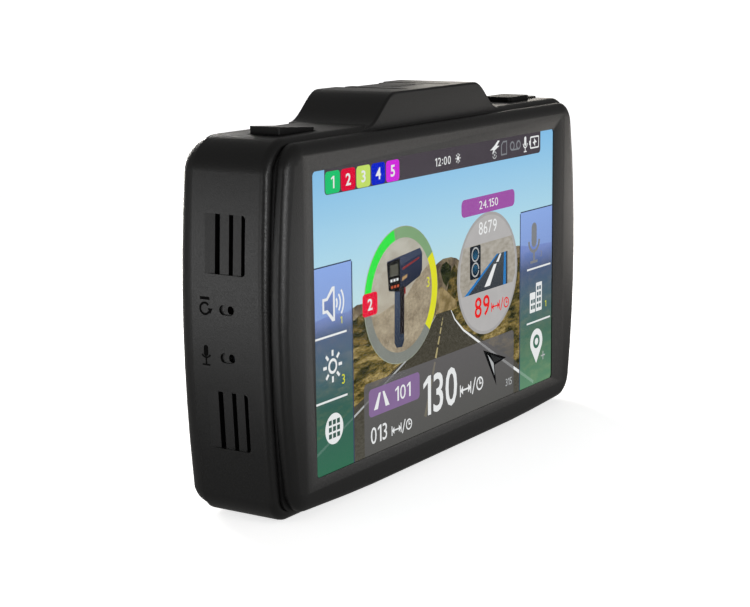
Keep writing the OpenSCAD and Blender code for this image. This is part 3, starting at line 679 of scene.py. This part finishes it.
def microphone(d, x, z, w, look, layer):
    """Microphone sign: a capsule of half width w in a cup, on a stand."""
    d.shape(box(x - w, x + w, z - 0.9 * w, z + 3.6 * w, 0.99 * w), layer, look)
    d.shape(band(x, z + 0.3 * w, 2.3 * w, 0.6 * w, 180, 360), layer, look)
    d.shape(box(x - 0.3 * w, x + 0.3 * w, z - 3.4 * w, z - 1.8 * w), layer, look)
    d.shape(box(x - 1.4 * w, x + 1.4 * w, z - 3.9 * w, z - 3.4 * w), layer, look)


def draw_left_keys():
    """Three touch keys at the left: sound, brightness and menu."""
    d = Drawing("picture_left_keys")
    tint = fading("lit_left_column", [(0, "#33755a"), (0.3, "#3d6a60"), (0.66, "#5d6f90"), (0.75, "#7f97d8"),
                                      (1, "#8ba8ef")], -26, 10, 0.62)
    d.shape(box(-SIDE_END, -31.7, -half_h, 9.9, 0.5), 6, tint)
    rim = glowing("lit_column_rim", "#3e4b63", 0.05)
    d.shape(box(-31.9, -31.6, -half_h, 9.6), 7, rim)
    d.shape(box(-SIDE_END, -31.9, 9.75, 9.98), 7, rim)
    for z in (-2.3, -13.6):
        d.shape(box(-43.6, -33.6, z - 0.18, z + 0.18), 7, WHITE)
    x, z = -37.7, 3.1
    d.shape([(x - 3.1, z - 1.3), (x - 1.9, z - 1.3), (x - 0.2, z - 3.0), (x + 0.6, z - 3.0),
             (x + 0.6, z + 3.0), (x - 0.2, z + 3.0), (x - 1.9, z + 1.3), (x - 3.1, z + 1.3)], 7, WHITE)
    blue = fading("lit_key_blue", [(0, "#66779c"), (1, "#7f97da")], 0, 6)
    d.shape([(x - 2.6, z - 0.8), (x - 1.6, z - 0.8), (x + 0.05, z - 2.3), (x + 0.05, z + 2.3),
             (x - 1.6, z + 0.8), (x - 2.6, z + 0.8)], 8, blue)
    for r in (1.4, 2.4, 3.4):
        d.shape(band(x + 0.1, z, r, 0.4, -40, 40), 7, WHITE)
    x, z = -38.0, -7.7
    d.shape(disc(x, z, 1.35), 7, WHITE)
    d.shape(disc(x, z, 0.85), 8, fading("lit_key_teal", [(0, "#475f66"), (1, "#51697a")], -10, -5))
    for i in range(8):
        a = math.radians(45 * i)
        ray = [(x + r * math.cos(a), z + r * math.sin(a)) for r in (1.8, 2.85)]
        d.shape(stroke(ray, 0.55), 7, WHITE)
    x, z = -37.8, -18.8
    d.shape(disc(x, z, 2.75), 7, WHITE)
    dark = glowing("lit_key_dark", "#3d5b52", 0.1)
    for i in (-1, 0, 1):
        for j in (-1, 0, 1):
            dot_x, dot_z = x + 1.25 * i, z + 1.2 * j
            d.shape(box(dot_x - 0.45, dot_x + 0.45, dot_z - 0.42, dot_z + 0.42), 8, dark)
    d.finish()
    digits("picture_sound_level", "1", -35.2, -0.1, 1.25, 8, YELLOW, 1.0)
    digits("picture_light_level", "3", -34.8, -10.6, 1.7, 8, YELLOW, 1.0)


def draw_right_keys():
    """Three touch keys at the right: voice, town mode and places."""
    d = Drawing("picture_right_keys")
    tint = fading("lit_right_column", [(0, "#679a78"), (0.3, "#507868"), (0.66, "#55668a"), (0.78, "#7f98dc"),
                                       (1, "#8da9ee")], -26, 10.5, 0.62)
    d.shape(box(29.8, SIDE_END, -half_h, 10.5, 0.5), 6, tint)
    rim = glowing("lit_right_rim", "#3e4b63", 0.05)
    d.shape(box(29.7, 30.0, -half_h, 10.2), 7, rim)
    d.shape(box(30.0, SIDE_END, 10.35, 10.58), 7, rim)
    for z in (-1.8, -13.1):
        d.shape(box(32.9, 43.3, z - 0.18, z + 0.18), 7, WHITE)
    microphone(d, 35.9, 3.7, 1.12, GREY, 7)
    x, z = 37.0, -8.0
    d.shape(box(x - 2.8, x - 0.4, z - 3.0, z + 1.2, 0.2), 7, WHITE)
    d.shape(box(x - 0.1, x + 2.5, z - 3.0, z + 3.0, 0.2), 7, WHITE)
    dark = fading("lit_town_dark", [(0, "#3f6156"), (1, "#4d6276")], -12, -4)
    for column, top in ((-2.2, 2), (-1.2, 2), (0.4, 4), (1.4, 4)):
        for i in range(top):
            d.shape(box(x + column - 0.1, x + column + 0.6, z - 2.3 + 1.25 * i, z - 1.5 + 1.25 * i), 8, dark)
    x, z = 37.2, -17.4
    d.shape(arc(x, z, 2.7, -25, 205) + [(x, z - 4.6)], 7, WHITE)
    d.shape(disc(x, z, 1.45), 8, fading("lit_pin_green", [(0, "#3c6b57"), (1, "#4a7a68")], -20, -14))
    d.shape(disc(x, z, 0.75), 9, WHITE)
    for across, up in ((0.9, 0.14), (0.14, 0.9)):
        d.shape(box(40.2 - across, 40.2 + across, -20.9 - up, -20.9 + up), 8, DIM_WHITE)
    d.finish()
    digits("picture_town_level", "1", 41.2, -10.0, 1.3, 8, YELLOW, 1.0)
    digits("picture_voice_level", "3", 39.0, 0.9, 1.2, 8, GREY, 1.0)


def draw_band_gauge():
    """Round gauge at the left, with coloured arcs and a handheld speed gun in it."""
    d = Drawing("picture_band_gauge")
    x, z, r = -15.4, 1.0, 12.5
    pale = fading("lit_gauge_field", [(0, "#b8a887"), (0.45, "#b6b0a4"), (0.6, "#bcbab3"), (1, "#c6cbc9")],
                  -12, 13, rough=(300, "#a69a80", "#c5bda9"))
    d.shape(disc(x, z, r - 1.7), 6, pale)
    d.shape(disc(x, z, r + 0.12), 5, glowing("lit_gauge_rim", "#a3ab97", 0.05))
    slope = terrain("lit_gauge_slope", [(0.38, "#978a74"), (0.62, "#b5a88f")], 260, 1.4, 0.85, 1.1)
    ridge = [(x + 7.5, z + 3.4), (x + 4.5, z + 1.9), (x + 1.5, z - 0.4), (x - 4.5, z - 1.6),
             (x - 8.0, z - 2.3)]
    d.shape(arc(x, z, r - 1.9, 193, 385) + ridge, 6.5, slope)
    arcs = ((102, 180, BRIGHT_GREEN), (31, 102, glowing("lit_muted_green", "#84a97d", 0.04)),
            (-40, 31, YELLOW), (-180, -40, glowing("lit_arc_grey", "#868a83", 0.05)))
    for start, end, look in arcs:
        d.shape(band(x, z, r, 2.0, start, end), 7, look)
    d.shape(box(x - 13.1, x - 8.3, z - 2.0, z + 2.1, 0.7), 8, RED)
    d.finish()
    digits("picture_gauge_badge", "2", x - 10.7, z + 0.05, 2.1, 9, WHITE, 1.15, 0.02)
    digits("picture_gauge_level", "3", x + 9.1, z + 1.0, 1.9, 9, YELLOW, 1.0)


def draw_speed_gun():
    """Handheld speed gun in the left gauge: grip, body, rear face with its screen and keys."""
    d = Drawing("picture_speed_gun")
    navy = fading("lit_gun_body", [(0, "#1b202c"), (1, "#353d56")], 0, 9)
    d.shape([(-17.9, 2.4), (-14.6, 2.7), (-14.8, -7.6), (-15.5, -8.6), (-17.4, -8.4), (-18.1, -7.4)], 7,
            fading("lit_gun_grip", [(0, "#2c3646"), (1, "#404c62")], -8, 2))
    d.shape([(-16.1, 2.4), (-14.6, 2.7), (-14.8, -6.2), (-16.2, -6.2)], 8,
            glowing("lit_gun_strip", "#201b1d", 0.1))
    d.shape([(-19.8, 2.5), (-15.9, 1.8), (-9.2, 3.6), (-8.4, 4.6), (-8.3, 7.6), (-9.1, 8.8),
             (-16.1, 8.2), (-20.4, 7.8)], 7, navy)
    d.shape([(-16.1, 8.1), (-9.1, 8.8), (-8.3, 7.8), (-15.9, 6.6)], 8,
            glowing("lit_gun_top", "#414a60", 0.05))
    d.shape([(-19.9, 2.4), (-16.0, 1.7), (-16.1, 7.9), (-20.5, 7.6)], 8, BLACK)
    d.shape(box(-19.4, -16.7, 4.9, 7.0), 9, glowing("lit_gun_screen", "#54544a", 0.1))
    for i in range(3):
        d.shape(box(-19.3 + i, -18.7 + i, 3.9, 4.4), 9, WHITE)
        d.shape(box(-19.1 + i, -18.5 + i, 2.7, 3.2), 9, glowing("lit_gun_key_%d" % i, "#c4552f", 0.1))
    d.shape([(-15.2, 5.6), (-9.4, 6.9), (-9.4, 7.2), (-15.2, 6.0)], 9,
            glowing("lit_gun_line", "#8e3535", 0.1))
    d.shape([(-15.5, 3.6), (-13.8, 4.0), (-13.6, 4.6), (-15.3, 4.3)], 9,
            glowing("lit_gun_plate", "#b9976a", 0.1))
    d.shape([(-14.6, 2.3), (-14.2, 2.2), (-14.2, 1.1), (-14.6, 1.0)], 8,
            glowing("lit_gun_trigger", "#9c2b2b", 0.1))
    d.finish()


def draw_limit_gauge():
    """Round field at the right with a speed camera beside a road, and a tag above it."""
    d = Drawing("picture_limit_gauge")
    x, z = 16.6, 0.2
    d.shape(disc(x, z, 12.1), 6, glowing("lit_round_edge", "#adabaa", 0.04))
    d.shape(disc(x, z, 11.5), 7, glowing("lit_round_field", "#bbb9b8", 0.03))
    field = fading("lit_view", [(0, "#a29c8e"), (0.7, "#b1aca2"), (1, "#bdbab2")], -4, 8,
                   rough=(500, "#948d7f", "#c0bab0"))
    d.shape([(6.5, -3.1), (26.6, -3.1), (27.6, -1.5), (27.6, 2.5), (26.3, 6.4), (7.0, 6.4),
             (5.7, 3.2), (5.5, -1)], 8, field)
    d.shape([(8.6, -3.1), (24.4, -3.1), (24.4, 3.5), (20.6, 3.5)], 9,
            fading("lit_lane", [(0, "#3a4046"), (1, "#4c5256")], -3, 4))
    blue = glowing("lit_lane_blue", "#2f7fc4", 0.06)
    d.shape([(7.1, -3.1), (8.8, -3.1), (20.9, 3.5), (20.0, 3.5)], 9, blue)
    d.shape([(22.6, -3.1), (23.7, -3.1), (23.7, 3.5), (23.0, 3.5)], 10, blue)
    d.shape([(15.0, -2.4), (17.2, -2.4), (19.9, 1.6), (18.8, 1.6)], 10, WHITE)
    d.shape([(19.7, 1.9), (20.7, 1.9), (21.8, 3.4), (21.2, 3.4)], 10, WHITE)
    d.shape(box(9.3, 13.5, -0.2, 6.3, 0.4), 9, glowing("lit_camera_box", "#1a222c", 0.08))
    lens = fading("lit_camera_lens", [(0, "#12222f"), (0.5, "#2a6a90"), (1, "#12222f")], 0.4, 5.8)
    for lens_z in (4.6, 1.6):
        d.shape(band(11.4, lens_z, 1.45, 0.3, 0, 350), 10, DIM_WHITE)
        d.shape(disc(11.4, lens_z, 0.95), 10, lens)
    d.shape(box(6.1, 27.3, 12.3, 15.7, 1.1), 8, glowing("lit_tag", "#a558ac", 0.03))
    d.finish()
    digits("picture_frequency", "24.150", 16.7, 14.0, 1.6, 9, WHITE, 1.25)
    digits("picture_distance", "8679", 16.4, 9.4, 2.5, 8, WHITE, 1.0)
    digits("picture_limit", "89", 14.2, -6.1, 4.1, 8, DIGIT_RED, 1.05, 0.01)
    unit_sign("picture_limit_unit", 21.6, -6.9, 0.62, DIGIT_RED, 8)


def unit_sign(name, x, z, size, look, layer):
    """Sign for a way over a time: a double arrow, a slash and a clock face."""
    d = Drawing(name)
    for side in (-1, 1):
        tip = x + (-3.3 + 2.6 * side) * size
        wing = tip - 1.3 * side * size
        head = [(tip, z), (wing, z + 1.1 * size), (wing, z - 1.1 * size)]
        d.shape(head if side < 0 else head[::-1], layer, look)
        d.shape(box(tip - 0.2 * size, tip + 0.2 * size, z - 1.5 * size, z + 1.5 * size), layer, look)
    d.shape(box(x - 4.7 * size, x - 1.9 * size, z - 0.22 * size, z + 0.22 * size), layer, look)
    slash = [(x + 0.1 * size, z - 2.0 * size), (x + 1.7 * size, z + 2.1 * size)]
    d.shape(stroke(slash, 0.45 * size), layer, look)
    d.shape(band(x + 3.9 * size, z, 1.75 * size, 0.45 * size, 90, 449), layer, look)
    d.shape(box(x + 3.7 * size, x + 4.1 * size, z - 0.2 * size, z + 1.1 * size), layer, look)
    d.shape(box(x + 3.7 * size, x + 4.8 * size, z - 0.2 * size, z + 0.2 * size), layer, look)
    d.finish()


def draw_speed_panel():
    """Panel at the bottom with the speed, the road sign and the heading arrow."""
    d = Drawing("picture_speed_panel")
    d.shape(box(-28.3, 27.3, -half_h, -13.1, 0.9), 6,
            fading("lit_panel", [(0, "#5f5f5e"), (1, "#6c6a6c")], -26, -13, 0.55))
    d.shape(box(-26.8, -9.5, -19.5, -14.4, 0.9), 7, glowing("lit_road_tag", "#8d719e", 0.03))
    d.shape([(-25.2, -18.4), (-23.9, -18.4), (-22.9, -15.5), (-23.5, -15.5)], 8, WHITE)
    d.shape([(-21.3, -18.4), (-20.0, -18.4), (-21.7, -15.5), (-22.3, -15.5)], 8, WHITE)
    tip, right, notch, low = (14.6, -15.0), (24.0, -18.2), (19.2, -18.9), (20.0, -23.2)
    d.shape([tip, low, notch, right], 8, BLACK)
    inner = [(16.4, -16.2), (19.2, -20.9), (18.8, -18.4)]
    d.shape(inner, 9, DIM_WHITE)
    d.shape([(18.9, -18.3), (19.4, -18.3), (22.4, -18.2), (17.6, -16.4)], 9,
            glowing("lit_arrow_grey", "#2b2c2c", 0.1))
    d.finish()
    digits("picture_road_number", "101", -15.4, -17.0, 2.7, 8, WHITE, 1.15)
    digits("picture_limit_low", "013", -23.6, -23.0, 3.1, 8, WHITE, 0.95)
    digits("picture_speed", "130", -2.0, -19.7, 7.6, 8, WHITE, 0.9, 0.01)
    digits("picture_heading", "315", 25.2, -23.5, 1.5, 8, DIM_WHITE, 1.0)
    unit_sign("picture_low_unit", -15.7, -23.6, 0.6, WHITE, 8)
    unit_sign("picture_speed_unit", 10.2, -21.4, 0.78, WHITE, 8)


# ---------------------------------------------------------------- floor

def add_floor():
    """Pale floor that glows brighter far away, so that it meets the white surroundings unseen."""
    s = Shader("floor")
    tone = s.ramp(s.noise(3, 2), [(0.3, (0.86, 0.86, 0.86, 1)), (0.7, (0.9, 0.9, 0.9, 1))])
    s.join(tone, s.main.inputs["Base Color"])
    s.join(tone, s.main.inputs["Emission Color"])
    closeness = s.add("ShaderNodeTexGradient", gradient_type="SPHERICAL")
    s.join(s.place, closeness.inputs["Vector"])
    s.join(s.range(closeness.outputs["Fac"], 0.2, 0.8, 1.25, 0.8), s.main.inputs["Emission Strength"])
    s.set(Roughness=0.9)
    bpy.ops.mesh.primitive_plane_add(size=60)
    floor = bpy.context.object
    floor.name = "floor"
    floor.location.z = -0.05 * MM
    floor.data.materials.append(s.material)
    floor.visible_diffuse = False
    floor.visible_glossy = False


# ---------------------------------------------------------------- signs on the left wall

# The left wall bows outwards: how much further its middle stands out than its top and bottom
HOUSING_TOP = 64.7
SIDE_BOW = 1.9
WALL_MIDDLE = (housing_low.z + HOUSING_TOP) / 2
WALL_CURVE = SIDE_BOW / WALL_MIDDLE ** 2
# The print barely stands out, since the wall's middle touches the object's box
SIGN_PROUD = 0.006
SIGN_THICK = 0.05
SIGN_DEPTH = 14.7


def wall_sign(name, outlines, height):
    """A dark sign on the bowed left wall, turned a quarter, as outlines of (across, up) points."""
    points, faces = [], []
    for outline in outlines:
        more, joined = slab(outline)
        faces += [[len(points) + i for i in face] for face in joined]
        for across, up, side in more:
            z = picture_z + height + across
            wall_x = housing_low.x + WALL_CURVE * (z - WALL_MIDDLE) ** 2
            outwards = wall_x - SIGN_PROUD + SIGN_THICK * side
            points.append((outwards * MM, (bezel_low.y + SIGN_DEPTH - up) * MM, z * MM))
    mesh = bpy.data.meshes.new(name)
    mesh.from_pydata(points, [], faces)
    mesh.materials.append(sign_print)
    piece = bpy.data.objects.new(name, mesh)
    scene.collection.objects.link(piece)
    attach(piece, "case")


sign_print = plastic("sign_print", "#040404", 0.7, 5200, 0.15, 0.0, 0.1)
turn = band(0, 0, 1.15, 0.38, 120, 410)
arrow_head = [(0.1, 0.6), (0.1, 1.6), (-0.9, 1.1)]
wall_sign("sign_reset", [turn, arrow_head, box(1.5, 2.0, -1.0, 1.0)], 4.0)
capsule = box(-0.2, 1.7, -0.45, 0.45, 0.43)
cup = band(0.6, 0, 1.15, 0.3, 120, 240)
wall_sign("sign_microphone", [capsule, cup, box(-1.5, -0.5, -0.15, 0.15), box(-1.8, -1.5, -0.8, 0.8)],
          -3.9)


# ---------------------------------------------------------------- the scene put together

draw_scenery()
draw_status_bar()
draw_left_keys()
draw_right_keys()
draw_band_gauge()
draw_speed_gun()
draw_limit_gauge()
draw_speed_panel()

add_camera()
add_world((1.0, 0.99, 0.97), 0.19)
# Places and sizes were chosen one by one. The strengths, and the tints of the warm lamps, are rounded
# results of a fit to the case's tones in the photograph.
add_light("left_back", (-130, 60, 35), (-55, 0, 38), 50, 0.0125)
add_light("left", (-120, 0, 30), (-55, 0, 45), 60, 0.008)
add_light("left_far", (-300, -60, 30), (-55, 0, 50), 60, 0.03)
add_light("front_left", (-60, -110, 45), (-48, -13, 45), 40, 0.026)
add_light("front", (0, -100, 45), (0, -13, 30), 50, 0.002)
add_light("front_low", (60, -80, 12), (10, -13, 4), 40, 0.0065)
add_light("front_right", (110, -90, 50), (50, -13, 45), 50, 0.002)
add_light("right_floor", (140, -95, 12), (-20, -13, 60), 50, 0.004, (1.0, 0.95, 0.91))
add_light("right_low", (240, -55, 20), (-50, -13, 45), 50, 0.03, (1.0, 0.94, 0.88))
add_light("top_back", (200, 350, 110), (0, 0, 66), 190, 3.1, (1.0, 0.97, 0.93))
add_light("top_right", (300, 120, 90), (20, 0, 68), 100, 0.09, (1.0, 0.94, 0.84))
add_floor()
scene.view_settings.view_transform = "Standard"
